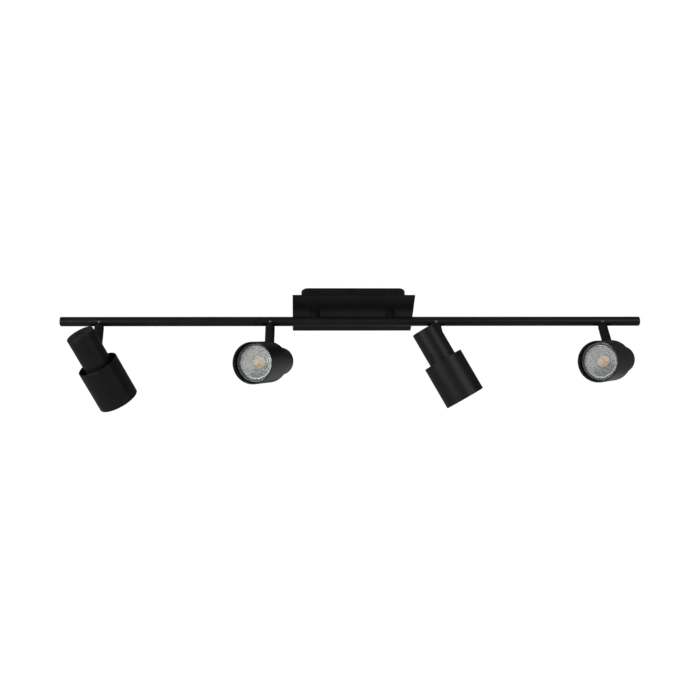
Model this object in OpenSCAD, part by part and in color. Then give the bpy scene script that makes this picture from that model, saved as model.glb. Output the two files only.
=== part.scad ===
// Ceiling spotlight bar: a flat rectangular canopy carries a round bar on two short
// standoffs, and four spotlights hang from the bar on short swivelling arms.
// The origin is the centre of the canopy's ceiling face. X runs along the bar,
// Y points away from the front and Z points up. All sizes are in millimetres.

/* [Bar] */
// Overall length of the bar with its end caps
bar_len = 800; // [780:2:1000]
// Outer diameter of the bar, the standoffs and the arms
bar_d = 13; // [12.8:0.1:13.4]
// Wall thickness of the bar
bar_wall = 1.2; // [1:0.1:1.4]

/* [Canopy] */
// Width of the canopy plate along the bar
plate_w = 167; // [160:1:200]
// Depth of the canopy plate across the bar
plate_d = 78; // [76:1:100]
// Thickness of the canopy plate
plate_t = 2; // [1.5:0.1:3]
// Width of the box above the plate
box_w = 143; // [140:1:155]
// Depth of the box above the plate
box_d = 62.8; // [60:0.2:70]
// Height of the box from the plate to the ceiling
box_h = 18; // [17:0.5:24]
// Plan radius of the box corners
box_r = 9; // [6:0.5:12]
// Sheet thickness of the box
sheet = 1.2; // [1:0.1:1.5]
// Distance of each standoff from the middle of the bar
standoff_x = 52; // [48:1:56]
// Gap between the plate and the top of the bar
standoff_gap = 7; // [6:0.1:12]

/* [Spots] */
// Distance of the inner spots from the middle of the bar
inner_x = 114.2; // [110:0.1:125]
// Distance of the outer spots from the middle of the bar
outer_x = 346.5; // [335:0.5:360]
// Lean of each arm along the bar, in degrees
spot_lean = [1.5, -1, 7, 3.5]; // [-20:0.5:20]
// Direction of each head around its arm, in degrees
spot_pan = [-26.5, 157.5, -42.5, 139.5]; // [-180:0.5:180]
// Angle of each head from its arm, in degrees
spot_tilt = [63, 55, 36, 61.5]; // [25:0.5:90]

/* [Arm] */
// Distance from the swing screw to the tilt pin
arm_len = 45.7; // [45:0.1:60]
// Height of the swing screw below the bar's axis
swing_drop = 3.8; // [3.6:0.1:3.9]
// Diameter of the swing screw
swing_d = 3; // [3:0.1:3.2]
// Diameter of the tilt pin
tilt_d = 3; // [3:0.1:3.4]

/* [Head] */
// Outer diameter of the rear housing
housing_d = 37.8; // [37:0.1:39]
// Length of the rear housing that shows behind the collar
housing_len = 48; // [46:0.5:52]
// Outer diameter of the collar
collar_d = 55.2; // [55:0.1:58]
// Length of the collar
collar_len = 59.8; // [58:0.1:62]
// Distance from the back of the head to the tilt pin
pin_back = 36; // [34:0.5:36]
// Distance from the head's axis to the tilt pin
pin_offset = 15.5; // [15:0.1:15.5]
// Distance of the lamp's face behind the collar's front edge
lamp_recess = 9.5; // [8:0.5:10]

/* [Hidden] */
$fn = 96;
eps = 0.01;
// Clearance between bodies that move past each other
gap = 0.3;
// Radial clearance of a running fit
run = 0.06;
bar_r = bar_d / 2;
bar_in = bar_r - bar_wall;
// Height of the plate's underside and of the bar's axis
plate_z = -box_h - plate_t;
bar_z = plate_z - standoff_gap - bar_r;
swing_z = bar_z - swing_drop;
cap_len = 3;
spot_x = [-outer_x, -inner_x, inner_x, outer_x];
// Seats of the swing screws' heads in the bar, measured from its axis
swing_seat = 5.05;
swing_head_r = 1.9;
swing_head_h = 0.7;
// Slot under the bar that the hinge tongue hangs through
tongue_t = 4;
slot_w = tongue_t + 2 * gap;
slot_half = 12;
// Hinge block: gap under the bar, shoulder below the swing screw, visible disc, spigot
block_drop = 3.3;
block_top = bar_r - swing_drop + block_drop;
block_h = 3.5;
spigot_r = 4.4;
spigot_len = 12;
arm_top = block_top + block_h + gap;
// Head: wall radii and the stations along its axis, from the back cap forward
housing_r = housing_d / 2;
housing_wall = 1.4;
housing_in = housing_r - housing_wall;
collar_r = collar_d / 2;
collar_wall = 1.5;
collar_in = collar_r - collar_wall;
head_len = housing_len + collar_len;
cap_t = 2.4;
flange_s = 60.5;
flange_t = 1.5;
ledge_s = flange_s + flange_t + 0.05;
ledge_t = 2;
ledge_r = 22.4;
lamp_s = head_len - lamp_recess;
lamp_base_s = 50;
bridge_s = [8, 37];
bridge_t = 1.4;
holder_s = bridge_s[1] + bridge_t + 0.02;
slot_back = 5;
cheek_gap = bar_r + gap;
pin_half = 8.8;
cap_recess = 1;
flange_turns = [30, 150, 270];
flange_screw_r = 24.2;
contact_x = 5;
holder_screw_x = 10.5;
lamp_rim_r = 25;
bowl_r = 19.5;
bowl_depth = 16;
led_r = 6;
// Canopy fittings
bracket_t = 1.5;
bracket_w = 26;
bracket_half = box_w / 2 - sheet - gap;
ceiling_slot_x = 45;
ceiling_slot_len = 14;
ceiling_slot_r = 2.3;
side_screw_z = -8;
inlet_x = 15;
inlet_r = 7;
earth_x = 29;
terminal_x = -14;
terminal_pitch = 8;
black = [0.045, 0.045, 0.048];
steel = [0.62, 0.62, 0.6];
nickel = [0.8, 0.8, 0.78];

// A rectangle with round corners, centred on the origin
module round_rect(w, d, r) {
    square([w - 2 * r, d], center = true);
    square([w, d - 2 * r], center = true);
    for (x = [-1, 1], y = [-1, 1])
        translate([x * (w / 2 - r), y * (d / 2 - r)])
            circle(r);
}

// A ring between two radii and two heights whose edges are rounded
module ring(r_in, r_out, z_low, z_high, edge) {
    rotate_extrude()
        translate([(r_in + r_out) / 2, (z_low + z_high) / 2])
            round_rect(r_out - r_in, z_high - z_low, edge);
}

// A disc with both edges rounded
module puck(r, z_low, z_high, edge) {
    rotate_extrude() {
        translate([0, z_low])
            square([r - edge, z_high - z_low]);
        translate([0, z_low + edge])
            square([r, z_high - z_low - 2 * edge]);
        for (z = [z_low + edge, z_high - edge])
            translate([r - edge, z])
                circle(edge);
    }
}

// A disc with a rounded outer edge on its lower face
module soft_disc(r, z_low, z_high, edge) {
    rotate_extrude() {
        translate([0, z_low])
            square([r - edge, z_high - z_low]);
        translate([0, z_low + edge])
            square([r, z_high - z_low - edge]);
        translate([r - edge, z_low + edge])
            circle(edge);
    }
}

// A disc whose upper edge is rounded
module soft_disc_up(r, h, edge) {
    translate([0, 0, h])
        mirror([0, 0, 1])
            soft_disc(r, 0, h, edge);
}

// Places children at a spot's swing screw, with -Z running down the arm
module arm_frame(i) {
    translate([spot_x[i], 0, swing_z])
        rotate([0, -spot_lean[i], 0])
            rotate([0, 0, spot_pan[i]])
                children();
}

// Places children at the back of a head, with +Z towards its lamp and the arm at -Y
module head_frame(i) {
    arm_frame(i)
        translate([0, 0, -arm_len])
            rotate([spot_tilt[i], 0, 0])
                translate([0, -pin_offset, pin_back])
                    rotate([180, 0, 0])
                        children();
}

// Shell of the canopy, open towards the ceiling
module canopy_box() {
    color(black)
        difference() {
            translate([0, 0, -box_h])
                linear_extrude(box_h)
                    round_rect(box_w, box_d, box_r);
            translate([0, 0, -box_h + sheet])
                linear_extrude(box_h)
                    round_rect(box_w - 2 * sheet, box_d - 2 * sheet, box_r - sheet);
            for (x = [-standoff_x, standoff_x])
                translate([x, 0, -box_h - 1])
                    cylinder(r = 5.1, h = 4);
            for (side = [-1, 1])
                translate([side * (box_w / 2 - sheet / 2), 0, side_screw_z])
                    rotate([0, 90, 0])
                        cylinder(r = 3.3, h = sheet + 1, center = true);
        }
}

// Flat cover plate under the box
module canopy_plate() {
    color(black)
        difference() {
            translate([0, 0, plate_z])
                linear_extrude(plate_t)
                    round_rect(plate_w, plate_d, 0.8);
            for (x = [-standoff_x, standoff_x])
                translate([x, 0, plate_z - 1])
                    cylinder(r = 5.1, h = plate_t + 2);
        }
}

// Steel strip that is screwed to the ceiling and holds the box by its two ends
module ceiling_bracket() {
    color(steel)
        difference() {
            union() {
                translate([-bracket_half, -bracket_w / 2, -bracket_t])
                    cube([2 * bracket_half, bracket_w, bracket_t]);
                for (side = [-1, 1])
                    translate([side * (bracket_half - bracket_t / 2), 0, -6.5])
                        cube([bracket_t, bracket_w - 8, 13], center = true);
            }
            for (side = [-1, 1]) {
                translate([side * ceiling_slot_x, 0, -bracket_t - 1])
                    linear_extrude(bracket_t + 2)
                        round_rect(ceiling_slot_len, 2 * ceiling_slot_r, ceiling_slot_r - eps);
                translate([side * bracket_half, 0, side_screw_z])
                    rotate([0, 90, 0])
                        cylinder(r = 1.95, h = 8, center = true);
            }
            translate([inlet_x, 0, -bracket_t - 1])
                cylinder(r = inlet_r, h = bracket_t + 2);
            translate([earth_x, 0, -bracket_t - 1])
                cylinder(r = 1.9, h = bracket_t + 2);
        }
}

// Three-way connector for the mains wires, on the bracket
module terminal_block() {
    color([0.9, 0.9, 0.86])
        difference() {
            union() {
                translate([terminal_x - 13, -8, -bracket_t - 11])
                    cube([26, 16, 11]);
                for (k = [-1, 0, 1])
                    translate([terminal_x + k * terminal_pitch, 0, -bracket_t - 12])
                        cube([6, 10, 2.4], center = true);
            }
            for (k = [-1, 0, 1], side = [-1, 1]) {
                translate([terminal_x + k * terminal_pitch, 0, -bracket_t - 7])
                    rotate([90, 0, 0])
                        cylinder(r = 1.6, h = 20, center = true);
                translate([terminal_x + k * terminal_pitch, side * 3.4, -bracket_t - 14])
                    cylinder(r = 1.5, h = 5);
            }
        }
}

// Rubber ring in the bracket's cable hole
module inlet_grommet() {
    color([0.12, 0.12, 0.12])
        translate([inlet_x, 0, 0]) {
            ring(4, inlet_r - 0.02, -bracket_t - 2.4, -0.3, 0.3);
            ring(4, inlet_r + 1.6, -bracket_t - 2.4, -bracket_t - 0.02, 0.3);
        }
}

// Earth screw with its washer
module earth_screw() {
    color([0.75, 0.6, 0.25])
        translate([earth_x, 0, 0]) {
            translate([0, 0, -bracket_t - 1.5])
                cylinder(r = 1.85, h = bracket_t + 1.2);
            translate([0, 0, -bracket_t - 1])
                cylinder(r = 4.2, h = 0.98);
            difference() {
                translate([0, 0, -bracket_t - 3.6])
                    cylinder(r = 3.4, h = 2.7);
                translate([0, 0, -bracket_t - 3.6])
                    cube([0.9, 8, 1.8], center = true);
            }
        }
}

// Two flat screws that hold the box on the bracket's ends
module side_screws() {
    color(black)
        for (side = [-1, 1])
            translate([side * box_w / 2, 0, side_screw_z])
                rotate([0, -side * 90, 0])
                    difference() {
                        union() {
                            cylinder(r = 3.2, h = sheet + gap / 2);
                            cylinder(r = 1.9, h = 7);
                        }
                        for (turn = [0, 90])
                            rotate([0, 0, turn])
                                cube([0.8, 3.6, 1.4], center = true);
                    }
}

// Turned standoffs: a shank saddled onto the bar and a hollow threaded neck
module standoffs() {
    color(black)
        for (side = [-1, 1])
            difference() {
                translate([side * standoff_x, 0, 0]) {
                    translate([0, 0, bar_z])
                        cylinder(r = bar_r - 0.3, h = plate_z - bar_z);
                    translate([0, 0, plate_z - eps])
                        cylinder(r = 5, h = plate_t + sheet + 5.4);
                }
                translate([side * standoff_x, 0, bar_z])
                    cylinder(r = 3, h = 40);
                rotate([0, 90, 0])
                    translate([-bar_z, 0, side * standoff_x])
                        cylinder(r = bar_r + 0.02, h = 30, center = true);
            }
}

// Hexagon nuts on the standoffs' necks, inside the box
module standoff_nuts() {
    nut_z = -box_h + sheet;
    color(nickel)
        for (side = [-1, 1])
            translate([side * standoff_x, 0, nut_z + 0.02])
                difference() {
                    cylinder(r = 8, h = 3.6, $fn = 6);
                    translate([0, 0, -1])
                        cylinder(r = 5.03, h = 6);
                }
}

// Round tube with wire holes on top and a slot under each spot
module bar_tube() {
    tube_half = bar_len / 2 - cap_len;
    color(black)
        difference() {
            translate([-tube_half, 0, bar_z])
                rotate([0, 90, 0])
                    cylinder(r = bar_r, h = 2 * tube_half);
            translate([-tube_half - 1, 0, bar_z])
                rotate([0, 90, 0])
                    cylinder(r = bar_in, h = 2 * tube_half + 2);
            for (side = [-1, 1])
                translate([side * standoff_x, 0, bar_z])
                    cylinder(r = 3, h = bar_d);
            for (x = spot_x)
                translate([x, 0, bar_z]) {
                    translate([0, 0, -bar_d])
                        linear_extrude(bar_d - swing_drop / 2)
                            round_rect(2 * slot_half, slot_w, slot_w / 2 - eps);
                    translate([0, 0, -swing_drop])
                        rotate([90, 0, 0]) {
                            cylinder(r = swing_d / 2 + 0.02, h = 30, center = true);
                            for (side = [-1, 1])
                                translate([0, 0, side * (swing_seat + 5)])
                                    cylinder(r = swing_head_r + 0.1, h = 10, center = true);
                        }
                }
        }
}

// Turned plugs with rounded faces in the ends of the bar
module bar_caps() {
    color(black)
        for (side = [-1, 1])
            translate([side * bar_len / 2, 0, bar_z])
                rotate([0, -side * 90, 0]) {
                    soft_disc(bar_r, 0, cap_len, 1.6);
                    translate([0, 0, cap_len - eps])
                        cylinder(r = bar_in - 0.02, h = 9);
                }
}

// Three wires along the inside of the bar, clear of the hinge tongues
module bar_wires() {
    wire_r = 0.9;
    wire_half = outer_x + 8;
    places = [[-3.35, 1.8], [0, 3.9], [3.35, 1.8]];
    colours = ["saddlebrown", "gold", "royalblue"];
    for (k = [0 : 2])
        color(colours[k])
            translate([-wire_half, places[k][0], bar_z + places[k][1]])
                rotate([0, 90, 0])
                    cylinder(r = wire_r, h = 2 * wire_half);
}

// Swing screws: a small slotted head in front, a shank and a riveted end behind
module swing_screws() {
    color(nickel)
        for (x = spot_x)
            translate([x, 0, swing_z])
                rotate([90, 0, 0])
                    difference() {
                        union() {
                            cylinder(r = swing_d / 2, h = 2 * swing_seat + eps, center = true);
                            for (side = [0, 1])
                                mirror([0, 0, side])
                                    translate([0, 0, swing_seat])
                                        soft_disc_up(swing_head_r, swing_head_h, 0.4);
                        }
                        translate([0, 0, swing_seat + swing_head_h])
                            cube([0.5, 6, 0.7], center = true);
                    }
}

// Hinge block: a flat tongue on the swing screw and a spigot that the arm turns on
module hinge_block(i) {
    color(black)
        arm_frame(i) {
            rotate([0, 0, -spot_pan[i]])
                difference() {
                    intersection() {
                        cylinder(r = bar_r - 0.5, h = 3 * bar_d, center = true);
                        rotate([90, 0, 0])
                            linear_extrude(tongue_t, center = true) {
                                circle(5);
                                translate([-bar_r, -block_top - 0.5])
                                    square([bar_d, block_top - 1]);
                            }
                    }
                    rotate([90, 0, 0])
                        cylinder(r = swing_d / 2 + run, h = 20, center = true);
                }
            puck(bar_r, -block_top - block_h, -block_top, 0.4);
            translate([0, 0, -block_top - block_h - spigot_len])
                cylinder(r = spigot_r, h = spigot_len + 1);
            translate([0, 0, -block_top - block_h - spigot_len])
                cylinder(r = spigot_r + 0.5, h = 1.8);
        }
}

// Arm: a round rod, bored for the spigot and its snap bead, with a ball end
module arm(i) {
    bore = spigot_r + run;
    bead_z = -block_top - block_h - spigot_len;
    color(black)
        arm_frame(i)
            difference() {
                union() {
                    translate([0, 0, -arm_len])
                        cylinder(r = bar_r, h = arm_len - arm_top - 1);
                    puck(bar_r, -arm_top - 2, -arm_top, 0.4);
                    translate([0, 0, -arm_len])
                        sphere(r = bar_r);
                }
                translate([0, 0, bead_z - gap])
                    cylinder(r = bore, h = 40);
                translate([0, 0, bead_z - gap])
                    cylinder(r = bore + 0.5, h = 1.8 + 2 * gap);
                translate([0, 0, -arm_len])
                    rotate([0, 90, 0])
                        cylinder(r = tilt_d / 2 + 0.01, h = 20, center = true);
            }
}

// Pin pressed through the arm's ball end, on which the head tilts
module tilt_pin(i) {
    color(nickel)
        arm_frame(i)
            translate([0, 0, -arm_len])
                rotate([0, 90, 0])
                    cylinder(r = tilt_d / 2, h = 2 * pin_half, center = true);
}

// Rear housing: a tube with a slot for the arm, two pin cheeks, two inner bridges
// and a flange for the collar at its front
module housing(i) {
    front = flange_s + flange_t;
    slot_front = pin_back + cheek_gap;
    color(black)
        head_frame(i)
            difference() {
                union() {
                    ring(housing_in, housing_r, cap_t, front, 0.3);
                    translate([0, 0, flange_s])
                        difference() {
                            cylinder(r = collar_in - 0.25, h = flange_t);
                            translate([0, 0, -1])
                                cylinder(r = housing_in + 0.5, h = 5);
                        }
                    intersection() {
                        cylinder(r = housing_in + 0.5, h = front);
                        for (side = [-1, 1])
                            translate([side * (cheek_gap + 2), -pin_offset - 1, pin_back - 1])
                                cube([4, 11, 16], center = true);
                    }
                    intersection() {
                        cylinder(r = housing_in + 0.5, h = front);
                        for (s = bridge_s)
                            translate([-housing_r, -4, s])
                                cube([housing_d, 8, bridge_t]);
                    }
                }
                translate([-cheek_gap, -housing_r - 2, slot_back])
                    cube([2 * cheek_gap, housing_r - 6, slot_front - slot_back]);
                translate([0, -pin_offset, pin_back])
                    rotate([0, 90, 0])
                        cylinder(r = tilt_d / 2 + run, h = housing_d, center = true);
                translate([0, 0, bridge_s[0] - 1])
                    cylinder(r = 1.6, h = 4);
                for (side = [-1, 1])
                    translate([side * holder_screw_x, 0, bridge_s[1] - 1])
                        cylinder(r = 1.4, h = 4);
                for (turn = flange_turns)
                    rotate([0, 0, turn])
                        translate([0, flange_screw_r, flange_s - 1])
                            cylinder(r = 1.15, h = 4);
            }
}

// Flat rear cap with a recess for its screw
module back_cap(i) {
    color(black)
        head_frame(i)
            difference() {
                union() {
                    soft_disc(housing_r, 0, cap_t - 0.02, 0.8);
                    cylinder(r = housing_in - 0.05, h = cap_t + 1.8);
                }
                translate([0, 0, -1])
                    cylinder(r = 5.6, h = 1 + cap_recess);
                cylinder(r = 1.65, h = 20, center = true);
            }
}

// Collar: the tube round the lamp, with a ledge inside that sits on the flange
module collar(i) {
    color(black)
        head_frame(i)
            difference() {
                union() {
                    ring(collar_in, collar_r, housing_len, head_len, 0.7);
                    ring(ledge_r, collar_in + 0.5, ledge_s, ledge_s + ledge_t, 0.2);
                }
                for (turn = flange_turns)
                    rotate([0, 0, turn])
                        translate([0, flange_screw_r, ledge_s - 1])
                            cylinder(r = 1.12, h = 4);
            }
}

// Screws of one head: one in the back cap, three in the flange, two in the lamp holder
module head_screws(i) {
    color([0.1, 0.1, 0.1])
        head_frame(i) {
            difference() {
                union() {
                    soft_disc(3.4, 0.1, cap_recess, 0.4);
                    translate([0, 0, cap_recess - 0.2])
                        cylinder(r = 1.55, h = 10);
                }
                for (turn = [0, 90])
                    rotate([0, 0, turn])
                        cube([0.8, 3.8, 1.4], center = true);
            }
            for (turn = flange_turns)
                rotate([0, 0, turn])
                    translate([0, flange_screw_r, flange_s]) {
                        translate([0, 0, -1.3])
                            cylinder(r = 1.6, h = 1.28);
                        translate([0, 0, -0.5])
                            cylinder(r = 1.1, h = flange_t + ledge_t + 0.5);
                    }
            for (side = [-1, 1])
                translate([side * holder_screw_x, 0, bridge_s[1]]) {
                    translate([0, 0, -1.3])
                        cylinder(r = 2.2, h = 1.28);
                    translate([0, 0, -0.5])
                        cylinder(r = 1.25, h = 9);
                }
        }
}

// Ceramic lamp holder with two keyhole contacts, screwed to the front bridge
module lamp_holder(i) {
    color([0.92, 0.9, 0.85])
        head_frame(i)
            difference() {
                translate([0, 0, holder_s])
                    linear_extrude(lamp_base_s - holder_s)
                        round_rect(26, 17, 4);
                for (side = [-1, 1]) {
                    translate([side * contact_x, 0, lamp_base_s - 8])
                        cylinder(r = 2.7, h = 9);
                    translate([side * contact_x, side * 1.6, lamp_base_s - 8])
                        cylinder(r = 1.8, h = 9);
                    translate([side * holder_screw_x, 0, holder_s - 1])
                        cylinder(r = 1.3, h = 20);
                }
            }
}

// Lamp body: a reflector-shaped shell on a round base with two headed pins
module lamp_body(i) {
    rim_s = lamp_s - 0.6;
    color([0.86, 0.86, 0.84])
        head_frame(i) {
            difference() {
                rotate_extrude()
                    polygon([
                        [0, lamp_base_s + 0.05], [9, lamp_base_s + 0.05], [9.4, lamp_base_s + 0.5],
                        [9.4, lamp_base_s + 12], [11.5, lamp_base_s + 14.5],
                        [14.2, lamp_base_s + 19], [18, lamp_base_s + 26],
                        [21.2, lamp_base_s + 33], [23.2, lamp_base_s + 39],
                        [23.9, rim_s - 6], [lamp_rim_r, rim_s - 5.4],
                        [lamp_rim_r, rim_s - 0.4], [lamp_rim_r - 0.4, rim_s], [0, rim_s]
                    ]);
                translate([0, 0, rim_s - 5])
                    cylinder(r = lamp_rim_r - 1.2, h = 6);
                translate([0, 0, rim_s - bowl_depth])
                    cylinder(r = bowl_r, h = bowl_depth);
            }
            for (side = [-1, 1])
                translate([side * contact_x, 0, 0]) {
                    translate([0, 0, lamp_base_s - 4.6])
                        cylinder(r = 1.4, h = 5);
                    translate([0, 0, lamp_base_s - 6.6])
                        cylinder(r = 2.4, h = 2.2);
                }
        }
}

// Light board with its round phosphor field
module lamp_led(i) {
    board_s = lamp_s - 0.6 - bowl_depth;
    color([0.95, 0.75, 0.3])
        head_frame(i) {
            translate([0, 0, board_s + 0.02])
                cylinder(r = bowl_r - 0.2, h = 1.2);
            translate([0, 0, board_s + 1.2])
                soft_disc_up(led_r, 1.4, 0.6);
        }
}

// Front lens of the lamp
module lamp_lens(i) {
    color([0.95, 0.95, 0.92, 0.5])
        head_frame(i)
            translate([0, 0, lamp_s - 5.55])
                soft_disc_up(lamp_rim_r - 1.25, 5.55, 1.2);
}

canopy_box();
canopy_plate();
ceiling_bracket();
terminal_block();
inlet_grommet();
earth_screw();
side_screws();
standoffs();
standoff_nuts();
bar_tube();
bar_caps();
bar_wires();
swing_screws();
for (i = [0 : 3]) {
    hinge_block(i);
    arm(i);
    tilt_pin(i);
    housing(i);
    back_cap(i);
    collar(i);
    head_screws(i);
    lamp_holder(i);
    lamp_body(i);
    lamp_led(i);
    lamp_lens(i);
}
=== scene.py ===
"""Looks for a black ceiling light: a flat canopy, a round bar and four swivelling spots.

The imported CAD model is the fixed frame. The script gives every CAD node a material, puts finer
pieces in place of the lamp fronts, and sets up the camera, the light and a pale floor.
Sizes are in metres. A name that ends in _DEG is in degrees, and LENS_MM is in millimetres.
"""

import math

import bmesh
import bpy
from mathutils import Matrix, Vector


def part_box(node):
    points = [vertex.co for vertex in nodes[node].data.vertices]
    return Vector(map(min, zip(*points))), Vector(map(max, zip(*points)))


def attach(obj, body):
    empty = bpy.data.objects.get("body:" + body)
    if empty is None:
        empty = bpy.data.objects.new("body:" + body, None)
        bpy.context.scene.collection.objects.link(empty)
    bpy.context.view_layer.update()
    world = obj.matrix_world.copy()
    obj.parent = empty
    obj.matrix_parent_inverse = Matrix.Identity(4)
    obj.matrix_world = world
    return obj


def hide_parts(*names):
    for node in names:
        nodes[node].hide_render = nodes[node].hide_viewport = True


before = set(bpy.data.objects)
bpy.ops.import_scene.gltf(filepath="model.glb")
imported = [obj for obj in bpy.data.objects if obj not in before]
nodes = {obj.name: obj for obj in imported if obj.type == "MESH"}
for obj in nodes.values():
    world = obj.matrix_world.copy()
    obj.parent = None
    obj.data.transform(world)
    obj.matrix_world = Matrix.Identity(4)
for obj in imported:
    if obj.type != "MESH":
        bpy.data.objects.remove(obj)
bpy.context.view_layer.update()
MM = 0.001

# Lamp fronts. Stations are measured along the lamp's axis from its front face, inwards negative
BEZEL_WIDTH = 1.8 * MM
LENS_GAP = 0.05 * MM
LENS_BACK_INSET = 0.4 * MM
LENS_FRONT = -2.3 * MM
RIBS = 12
RIB_PEAK = -2.6 * MM
RIB_VALLEY = -2.85 * MM
DOME_R = 5.2 * MM
BOWL_INSET = 1.9 * MM
BOWL_GAP = 0.1 * MM
BOWL_FOOT_GAP = 0.2 * MM
BOWL_FLANGE_RISE = 0.15 * MM
BOWL_RINGS = 8
BOWL_SECTORS = 30
BOARD_R = 11.0 * MM
BOARD_THICKNESS = 1.2 * MM
BOARD_LIP = 0.4 * MM
TRACE_DEPTH = 0.15 * MM
LED_R = 6.0 * MM
LATHE_STEPS = 144
WELD_DISTANCE = 1e-7

# Camera: it stands in front of the light, below it, and looks up
LENS_MM = 56.93
YAW_DEG = 3.35
PITCH_DEG = 36.11
ROLL_DEG = -2.09
CAMERA_DISTANCE = 1.528
BAR_RIGHT_OF_AXIS = 0.00445
BAR_ABOVE_AXIS = 0.03946

# Light and surroundings. The room's light falls from ROOM_LIGHT to CEILING_LIGHT as a direction's
# sine of elevation goes from DIMMING_START to DIMMING_END
ROOM_LIGHT = 0.17
CEILING_LIGHT = 0.08
DIMMING_START = 0.15
DIMMING_END = 0.55
LIGHT_DISTANCE = 2.0
BACKDROP_LIGHT = 1.04
BACKDROP_R = 16.0
FLOOR_LIGHT = 0.88
FLOOR_R = 15.0
FLOOR_Z = -2.4
FLOOR_STEPS = 128


# ---------------------------------------------------------------- materials
# Every material by its plain name; Blender adds a number where the CAD has that name too
looks = {}


class Shader:
    """A node tree around one Principled shader. Texture scales count features per metre."""

    def __init__(self, name):
        self.material = looks[name] = bpy.data.materials.new(name)
        self.material.use_nodes = True
        self.tree = self.material.node_tree
        self.bsdf = self.tree.nodes["Principled BSDF"]
        self.coords = self.add("ShaderNodeTexCoord").outputs["Object"]

    def add(self, kind, **inputs):
        node = self.tree.nodes.new(kind)
        for name, value in inputs.items():
            node.inputs[name].default_value = value
        return node

    def link(self, source, target):
        self.tree.links.new(source, target)

    def set(self, **inputs):
        """Sets sockets of the shader; an underscore in a name stands for a space."""
        for name, value in inputs.items():
            self.bsdf.inputs[name.replace("_", " ")].default_value = value

    def noise(self, scale, detail=2.0, vector=None):
        node = self.add("ShaderNodeTexNoise", Scale=scale, Detail=detail, Roughness=0.5)
        self.link(vector or self.coords, node.inputs["Vector"])
        return node.outputs["Fac"]

    def cells(self, scale, output="Distance"):
        node = self.add("ShaderNodeTexVoronoi", Scale=scale)
        self.link(self.coords, node.inputs["Vector"])
        return node.outputs[output]

    def stretched(self, scale):
        """Object coordinates scaled by axis, for streaks."""
        node = self.add("ShaderNodeMapping", Scale=scale)
        self.link(self.coords, node.inputs["Vector"])
        return node.outputs["Vector"]

    def ramp(self, source, stops):
        """A colour ramp through (place, colour) stops."""
        node = self.add("ShaderNodeValToRGB")
        elements = node.color_ramp.elements
        while len(elements) < len(stops):
            elements.new(0.5)
        for element, (place, colour) in zip(elements, stops):
            element.position = place
            element.color = (*colour, 1)
        self.link(source, node.inputs["Fac"])
        return node.outputs["Color"]

    def spread(self, source, low, high, start=0.3, end=0.7):
        """Maps start..end, by default a noise's usual range, to low..high."""
        node = self.add(
            "ShaderNodeMapRange",
            **{"From Min": start, "From Max": end, "To Min": low, "To Max": high},
        )
        self.link(source, node.inputs["Value"])
        return node.outputs["Result"]

    def colour(self, source, dark, light, start=0.3, end=0.7):
        """A texture between two colours as the base colour."""
        mixed = self.ramp(source, [(start, dark), (end, light)])
        self.link(mixed, self.bsdf.inputs["Base Color"])
        return mixed

    def roughness(self, source, low, high, start=0.3, end=0.7):
        self.link(self.spread(source, low, high, start, end), self.bsdf.inputs["Roughness"])

    def bumps(self, *layers):
        """Stacks (height, strength, distance) bump layers into the shader's normal."""
        normal = None
        for height, strength, distance in layers:
            node = self.add("ShaderNodeBump", Strength=strength, Distance=distance)
            self.link(height, node.inputs["Height"])
            if normal is not None:
                self.link(normal, node.inputs["Normal"])
            normal = node.outputs["Normal"]
        self.link(normal, self.bsdf.inputs["Normal"])


def powder_coat(name, specular, rough, grain=1.0):
    """Baked powder coat: near-black, fine grain over a soft orange peel."""
    s = Shader(name)
    s.colour(s.noise(35, 3), (0.012, 0.012, 0.0125), (0.017, 0.017, 0.017), 0.35, 0.65)
    s.roughness(s.noise(90, 4), *rough)
    s.set(Specular_IOR_Level=specular)
    s.bumps((s.noise(420), 0.10 * grain, 0.00006), (s.noise(2600), 0.16 * grain, 0.00003))


def metal(name, dark, light, rough, streak):
    """Bare or plated metal with fine streaks along one axis."""
    s = Shader(name)
    lines = s.noise(600, 4, vector=s.stretched(streak))
    s.colour(lines, dark, light)
    s.roughness(lines, *rough)
    s.set(Metallic=1.0)
    s.bumps((lines, 0.08, 0.00002))


def galvanised(name):
    """Zinc-plated sheet with its soft crystal pattern."""
    s = Shader(name)
    crystals = s.cells(160, output="Color")
    s.colour(crystals, (0.42, 0.43, 0.44), (0.66, 0.67, 0.68), 0.2, 0.8)
    s.roughness(crystals, 0.34, 0.52, 0.0, 1.0)
    s.set(Metallic=1.0)
    s.bumps((s.noise(900, 3), 0.10, 0.00003))


def moulded(name, dark, light, rough, bump=0.10, subsurface=0.0):
    """Moulded plastic, rubber or ceramic with a faint grain."""
    s = Shader(name)
    s.colour(s.noise(120, 3), dark, light)
    s.roughness(s.noise(300, 3), *rough)
    if subsurface:
        s.set(Subsurface_Weight=subsurface, Subsurface_Scale=0.001)
    s.bumps((s.noise(1500, 3), bump, 0.00004))


def wire_sheath(name):
    """Three wire colours, told apart by their place across the bar."""
    s = Shader(name)
    brown, yellow_green, blue = (0.16, 0.06, 0.02), (0.55, 0.45, 0.03), (0.02, 0.09, 0.38)
    bundle_half = 3.35 * MM
    split = s.add("ShaderNodeSeparateXYZ")
    s.link(s.coords, split.inputs["Vector"])
    across = s.spread(split.outputs["Y"], 0.0, 1.0, -bundle_half, bundle_half)
    bands = s.ramp(across, [(0.0, brown), (0.25, yellow_green), (0.75, blue)])
    bands.node.color_ramp.interpolation = "CONSTANT"
    s.link(bands, s.bsdf.inputs["Base Color"])
    s.roughness(s.noise(400), 0.28, 0.40)
    s.bumps((s.noise(900), 0.08, 0.00004))


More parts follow.
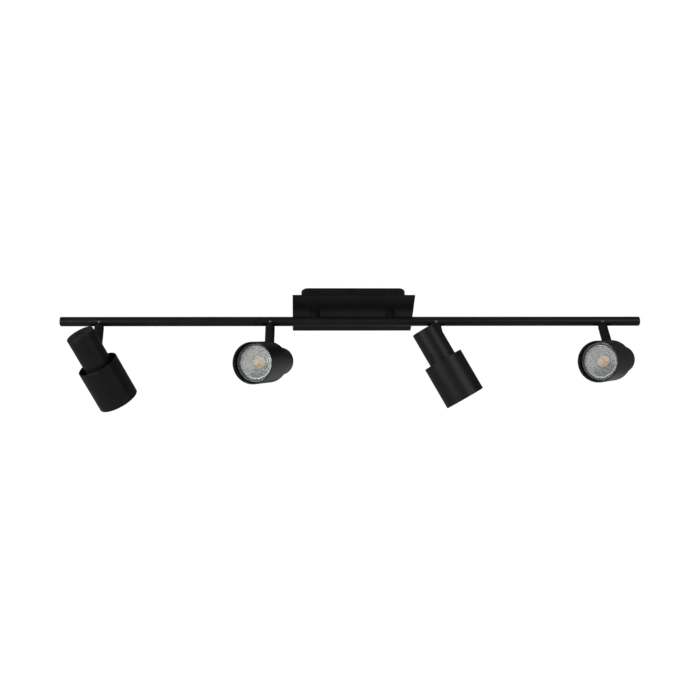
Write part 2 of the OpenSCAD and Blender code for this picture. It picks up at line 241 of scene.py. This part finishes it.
def lamp_glass(name):
    """Moulded lens: clear with a milky share, under a fine honeycomb of tiny lenses."""
    s = Shader(name)
    s.set(Base_Color=(0.94, 0.98, 0.98, 1), Transmission_Weight=0.74, IOR=1.45)
    s.roughness(s.noise(260), 0.07, 0.12)
    s.bumps((s.cells(820), 0.05, 0.00008), (s.noise(180), 0.06, 0.00008))


def plated_plastic(name):
    """Vacuum-plated plastic: bright, slightly uneven."""
    s = Shader(name)
    s.colour(s.noise(260, 3), (0.74, 0.75, 0.75), (0.95, 0.95, 0.94))
    s.roughness(s.noise(240, 3), 0.22, 0.36)
    s.set(Metallic=0.6)
    s.bumps((s.noise(420), 0.12, 0.00006))


def light_board(name):
    """Pale solder mask of the light board."""
    s = Shader(name)
    s.colour(s.noise(700), (0.58, 0.68, 0.71), (0.70, 0.79, 0.82))
    s.roughness(s.noise(300), 0.30, 0.42)
    s.bumps((s.noise(900), 0.10, 0.00005))


def phosphor(name):
    """Warm yellow phosphor gel with a fine speckle, given a faint painted glow though the lamp is
    off.
    """
    s = Shader(name)
    gel = s.colour(s.noise(900, 4), (0.92, 0.50, 0.20), (0.99, 0.66, 0.34))
    # Painted glow: the gel's own colour is also emitted faintly, so it looks lit though the lamp
    # is off
    s.link(gel, s.bsdf.inputs["Emission Color"])
    s.set(Emission_Strength=0.35)
    s.roughness(s.noise(500), 0.30, 0.45)
    s.bumps((s.noise(700, 3), 0.15, 0.00005))


powder_coat("black_coat", 0.4, (0.28, 0.36))
powder_coat("plate_coat", 0.36, (0.28, 0.35), grain=0.6)
galvanised("zinc_steel")
metal("nickel", (0.66, 0.65, 0.62), (0.84, 0.83, 0.80), (0.28, 0.42), (1, 6, 1))
metal("dark_steel", (0.05, 0.05, 0.055), (0.12, 0.12, 0.125), (0.28, 0.42), (1, 1, 5))
metal("brass", (0.62, 0.40, 0.14), (0.83, 0.60, 0.26), (0.20, 0.34), (1, 5, 1))
moulded("rubber", (0.018, 0.018, 0.018), (0.032, 0.032, 0.031), (0.62, 0.78), 0.2)
moulded("white_nylon", (0.70, 0.69, 0.64), (0.80, 0.79, 0.75), (0.36, 0.50), 0.08, 0.15)
wire_sheath("wire_sheath")
moulded("ceramic", (0.66, 0.63, 0.56), (0.78, 0.75, 0.69), (0.50, 0.66), 0.22)
moulded("lamp_shell", (0.44, 0.45, 0.46), (0.54, 0.55, 0.56), (0.26, 0.38))
moulded("lamp_rim", (0.13, 0.145, 0.15), (0.18, 0.20, 0.205), (0.20, 0.28))
lamp_glass("lamp_glass")
plated_plastic("reflector")
light_board("board")
phosphor("phosphor")

NODE_LOOKS = {
    "canopy_box": "black_coat",
    "canopy_plate": "plate_coat",
    "ceiling_bracket": "zinc_steel",
    "terminal_block": "white_nylon",
    "inlet_grommet": "rubber",
    "earth_screw": "brass",
    "side_screws": "dark_steel",
    "standoffs": "black_coat",
    "standoff_nuts": "nickel",
    "bar_tube": "black_coat",
    "bar_caps": "black_coat",
    "bar_wires": "wire_sheath",
    "swing_screws": "nickel",
    "hinge_block": "black_coat",
    "arm": "black_coat",
    "tilt_pin": "nickel",
    "housing": "black_coat",
    "back_cap": "black_coat",
    "collar": "black_coat",
    "head_screws": "dark_steel",
    "lamp_holder": "ceramic",
    "lamp_body": "lamp_shell",
    "lamp_led": "phosphor",
    "lamp_lens": "lamp_glass",
}


def paint(obj, look):
    obj.data.materials.clear()
    obj.data.materials.append(looks[look])


for node_name, node in nodes.items():
    paint(node, NODE_LOOKS[node_name.rstrip("_1234")])


# ---------------------------------------------------------------- lamp fronts
def box_middle(name):
    low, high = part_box(name)
    return (low + high) / 2


def flat_face(name, towards):
    """Centre and normal of a node's largest flat face on the side of the direction towards."""
    mesh = nodes[name].data
    groups = {}
    for polygon in mesh.polygons:
        if polygon.normal.dot(towards) > 0:
            key = tuple(round(c, 3) for c in polygon.normal)
            group = groups.setdefault(key, [0.0, set(), Vector()])
            corners = (mesh.vertices[v].co for v in polygon.vertices)
            group[0] += polygon.area
            group[1].update(tuple(round(c, 7) for c in corner) for corner in corners)
            group[2] += polygon.normal * polygon.area
    _, rim, normal = max(groups.values(), key=lambda group: group[0])
    centre = sum((Vector(p) for p in rim), Vector()) / len(rim)
    return centre, normal.normalized()


def head_matrix(n):
    """Middle of a lamp's front face, with +Z out of the lamp and the arm on the -Y side."""
    lens = f"lamp_lens_{n}"
    centre, out = flat_face(lens, box_middle(lens) - box_middle(f"back_cap_{n}"))
    arm_side = box_middle(f"tilt_pin_{n}") - centre
    y = -(arm_side - arm_side.dot(out) * out).normalized()
    matrix = Matrix((y.cross(out), y, out)).transposed().to_4x4()
    matrix.translation = centre
    return matrix


def reach(name, matrix):
    """Largest radius and lowest and highest station of a node about a head's axis."""
    local = [matrix.inverted() @ v.co for v in nodes[name].data.vertices]
    return max(p.xy.length for p in local), min(p.z for p in local), max(p.z for p in local)


def place(name, mesh):
    """A new object for a mesh, in the scene's collection."""
    obj = bpy.data.objects.new(name, mesh)
    bpy.context.scene.collection.objects.link(obj)
    return obj


def make(name, mesh, matrix, body, look, smooth=True):
    """An object for a mesh built in a head's own frame, riding on a body."""
    obj = place(name, mesh)
    obj.matrix_world = matrix
    paint(obj, look)
    if smooth:
        mesh.shade_smooth()
    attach(obj, body)
    return obj


def to_mesh(bm, name):
    mesh = bpy.data.meshes.new(name)
    bm.to_mesh(mesh)
    bm.free()
    return mesh


def ring(bm, radius, height, steps, offset=0.0):
    """Vertices on a circle; offset turns them by a share of a step."""
    angles = [2 * math.pi * (k + offset) / steps for k in range(steps)]
    return [bm.verts.new((radius * math.cos(a), radius * math.sin(a), height)) for a in angles]


def lathe(profile):
    """Closed mesh of revolution through (radius, height) points: from axis to axis, or a loop."""
    bm = bmesh.new()
    rings = [
        ring(bm, radius, height, LATHE_STEPS) if radius else [bm.verts.new((0, 0, height))]
        for radius, height in profile
    ]
    for a, b in zip(rings, rings[1:]):
        for k in range(LATHE_STEPS):
            corners = [a[k % len(a)], a[(k + 1) % len(a)], b[(k + 1) % len(b)], b[k % len(b)]]
            bm.faces.new(list(dict.fromkeys(corners)))
    bmesh.ops.remove_doubles(bm, verts=bm.verts, dist=WELD_DISTANCE)
    bmesh.ops.recalc_face_normals(bm, faces=bm.faces)
    return to_mesh(bm, "lathe")


def bezel_profile(r_in, r_out, back):
    """Rounded plastic ring round the lens."""
    return [
        (r_in, back),
        (r_out, back),
        (r_out, -1.0 * MM),
        (r_out - 0.3 * MM, -0.3 * MM),
        (r_out - 0.8 * MM, -0.02 * MM),
        (r_in + 0.4 * MM, -0.15 * MM),
        (r_in + 0.1 * MM, -0.6 * MM),
        (r_in, -1.6 * MM),
        (r_in, back),
    ]


def lens_profile(radius, back):
    """Sunken lens with a raised edge, fine ribs and a low dome in the middle."""
    points = [
        (0, back),
        (radius - 0.3 * MM, back),
        (radius, back + 0.3 * MM),
        (radius, LENS_FRONT),
        (radius - 0.25 * MM, -1.95 * MM),
        (radius - 0.8 * MM, -1.9 * MM),
        (radius - 1.1 * MM, -2.2 * MM),
        (radius - 1.6 * MM, -2.8 * MM),
    ]
    ribbed_r = radius - 1.9 * MM
    pitch = (ribbed_r - DOME_R) / RIBS
    for k in range(RIBS):
        peak_r = ribbed_r - (k + 0.35) * pitch
        points += [(peak_r, RIB_PEAK), (peak_r - 0.6 * pitch, RIB_VALLEY)]
    points += [
        (DOME_R, -2.75 * MM),
        (0.8 * DOME_R, -2.55 * MM),
        (0.45 * DOME_R, -2.4 * MM),
        (0, -2.35 * MM),
    ]
    return points


def board_profile(back, top):
    """Round board with one shallow ring-shaped groove around the phosphor field."""
    outer = BOARD_R + BOARD_LIP
    return [
        (0, back),
        (outer, back),
        (outer, top),
        (8.6 * MM, top),
        (8.5 * MM, top - TRACE_DEPTH),
        (8.2 * MM, top - TRACE_DEPTH),
        (8.1 * MM, top),
        (0, top),
    ]


def phosphor_profile(base, top):
    """Low dam around a domed field of gel."""
    dam_r = LED_R + 0.5 * MM
    return [
        (0, base + 0.01 * MM),
        (dam_r, base + 0.01 * MM),
        (dam_r, base + 0.5 * MM),
        (LED_R + 0.2 * MM, base + 0.7 * MM),
        (LED_R - 0.2 * MM, base + 0.65 * MM),
        (0.8 * LED_R, base + 0.95 * MM),
        (0.4 * LED_R, top),
        (0, top),
    ]


def bowl_mesh(r_flange, r_out, z_out, r_in, z_in):
    """Open bowl of small flat facets, staggered from ring to ring, inside a sloping flange."""
    bm = bmesh.new()
    # The flange's edge comes before ring 0, so it has the odd rings' stagger
    rings = [ring(bm, r_flange, z_out + BOWL_FLANGE_RISE, BOWL_SECTORS, 0.5)]
    for j in range(BOWL_RINGS + 1):
        depth = j / BOWL_RINGS
        radius = r_out + (r_in - r_out) * depth
        height = z_out + (z_in - z_out) * math.sin(depth * math.pi / 2)
        rings.append(ring(bm, radius, height, BOWL_SECTORS, 0.5 * (j % 2)))
    for j, (a, b) in enumerate(zip(rings, rings[1:])):
        for k in range(BOWL_SECTORS):
            n = (k + 1) % BOWL_SECTORS
            if j % 2 == 0:
                bm.faces.new((a[k], a[n], b[k]))
                bm.faces.new((a[n], b[n], b[k]))
            else:
                bm.faces.new((a[k], b[n], b[k]))
                bm.faces.new((a[k], a[n], b[n]))
    bmesh.ops.recalc_face_normals(bm, faces=bm.faces)
    return to_mesh(bm, "reflector")


for n in (1, 2, 3, 4):
    head = f"head_{n}"
    at = head_matrix(n)
    front_r, front_back, _ = reach(f"lamp_lens_{n}", at)
    bowl_r, board_back, led_top = reach(f"lamp_led_{n}", at)
    board_top = board_back + BOARD_THICKNESS
    opening_r = front_r - BEZEL_WIDTH
    glass_back = front_back + LENS_BACK_INSET

    glass = lathe(lens_profile(opening_r - LENS_GAP, glass_back))
    lens = make(f"lens_{n}", glass, at, head, "lamp_glass")
    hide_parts(f"lamp_lens_{n}")

    edge = lathe(bezel_profile(opening_r, front_r, glass_back))
    bezel = make(f"bezel_{n}", edge, at, head, "lamp_rim")

    flange_r, mouth_z = front_r - BOWL_INSET, front_back + BOWL_GAP
    facets = bowl_mesh(flange_r, bowl_r, mouth_z, BOARD_R, board_top + BOWL_FOOT_GAP)
    bowl = make(f"reflector_{n}", facets, at, head, "reflector", smooth=False)

    board = make(f"board_{n}", lathe(board_profile(board_back, board_top)), at, head, "board")

    field = lathe(phosphor_profile(board_top, led_top))
    chip = make(f"phosphor_{n}", field, at, head, "phosphor")
    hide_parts(f"lamp_led_{n}")


# ---------------------------------------------------------------- floor, light and camera
def surroundings(name, bm, colours, light):
    """A pale surface that the camera sees and the object doesn't reflect."""
    shader = Shader(name)
    pale = shader.ramp(shader.noise(1.5), [(0.3, colours[0]), (0.7, colours[1])])
    shader.link(pale, shader.bsdf.inputs["Emission Color"])
    shader.set(Base_Color=(0, 0, 0, 1), Roughness=0.9, Specular_IOR_Level=0.0)
    shader.set(Emission_Strength=light)
    mesh = to_mesh(bm, name)
    mesh.materials.append(shader.material)
    obj = place(name, mesh)
    obj.visible_diffuse = obj.visible_glossy = False
    obj.visible_transmission = obj.visible_shadow = False


def softbox(name, azimuth, elevation, width, height, radiance):
    """A rectangular light that faces the bar's middle; azimuth 0 is in front, 90 to the right."""
    a, e = math.radians(azimuth), math.radians(elevation)
    out = Vector((math.sin(a) * math.cos(e), -math.cos(a) * math.cos(e), math.sin(e)))
    data = bpy.data.lights.new(name, "AREA")
    data.shape = "RECTANGLE"
    data.size, data.size_y = width, height
    data.energy = math.pi * width * height * radiance
    obj = place(name, data)
    obj.location = bar_middle + LIGHT_DISTANCE * out
    obj.rotation_mode = "QUATERNION"
    obj.rotation_quaternion = out.to_track_quat("Z", "Y")
    obj.visible_camera = False


disc = bmesh.new()
bmesh.ops.create_circle(
    disc,
    cap_ends=True,
    segments=FLOOR_STEPS,
    radius=FLOOR_R,
    matrix=Matrix.Translation((0, 0, FLOOR_Z)),
)
surroundings("floor", disc, ((0.97, 0.97, 0.97), (1, 1, 1)), FLOOR_LIGHT)
ball = bmesh.new()
bmesh.ops.create_icosphere(ball, subdivisions=4, radius=BACKDROP_R)
surroundings("backdrop", ball, ((1, 1, 1), (1, 1, 1)), BACKDROP_LIGHT)

# The room is a dim even light that gets darker from the horizon up
world = bpy.data.worlds.new("studio")
world.use_nodes = True
sky = world.node_tree
direction = sky.nodes.new("ShaderNodeTexCoord").outputs["Generated"]
split = sky.nodes.new("ShaderNodeSeparateXYZ")
dimming = sky.nodes.new("ShaderNodeMapRange")
dimming.inputs["From Min"].default_value = DIMMING_START
dimming.inputs["From Max"].default_value = DIMMING_END
dimming.inputs["To Min"].default_value = ROOM_LIGHT
dimming.inputs["To Max"].default_value = CEILING_LIGHT
sky.links.new(direction, split.inputs["Vector"])
sky.links.new(split.outputs["Z"], dimming.inputs["Value"])
sky.links.new(dimming.outputs["Result"], sky.nodes["Background"].inputs["Strength"])
sky.nodes["Background"].inputs["Color"].default_value = (1, 1, 1, 1)
bpy.context.scene.world = world
bpy.context.scene.view_settings.view_transform = "Standard"

bar_middle = box_middle("bar_tube")
softbox("key", 40, -14, 1.3, 1.3, 0.9)
softbox("fill", -54, -20, 1.5, 1.0, 3.4)
softbox("bounce", 155, 2, 1.3, 2.7, 0.20)
softbox("top", 0, 88, 2.0, 1.0, 0.5)

yaw, pitch, roll = (math.radians(a) for a in (YAW_DEG, PITCH_DEG, ROLL_DEG))
forward = Vector(
    (math.sin(yaw) * math.cos(pitch), math.cos(yaw) * math.cos(pitch), math.sin(pitch))
)
level = Vector((math.cos(yaw), -math.sin(yaw), 0))
upright = level.cross(forward)
right = math.cos(roll) * level + math.sin(roll) * upright
up = -math.sin(roll) * level + math.cos(roll) * upright
camera_data = bpy.data.cameras.new("camera")
camera_data.lens = LENS_MM
camera = place("camera", camera_data)
stand = Matrix((right, up, -forward)).transposed().to_4x4()
stand.translation = (
    bar_middle - BAR_RIGHT_OF_AXIS * right - BAR_ABOVE_AXIS * up - CAMERA_DISTANCE * forward
)
camera.matrix_world = stand
bpy.context.scene.camera = camera
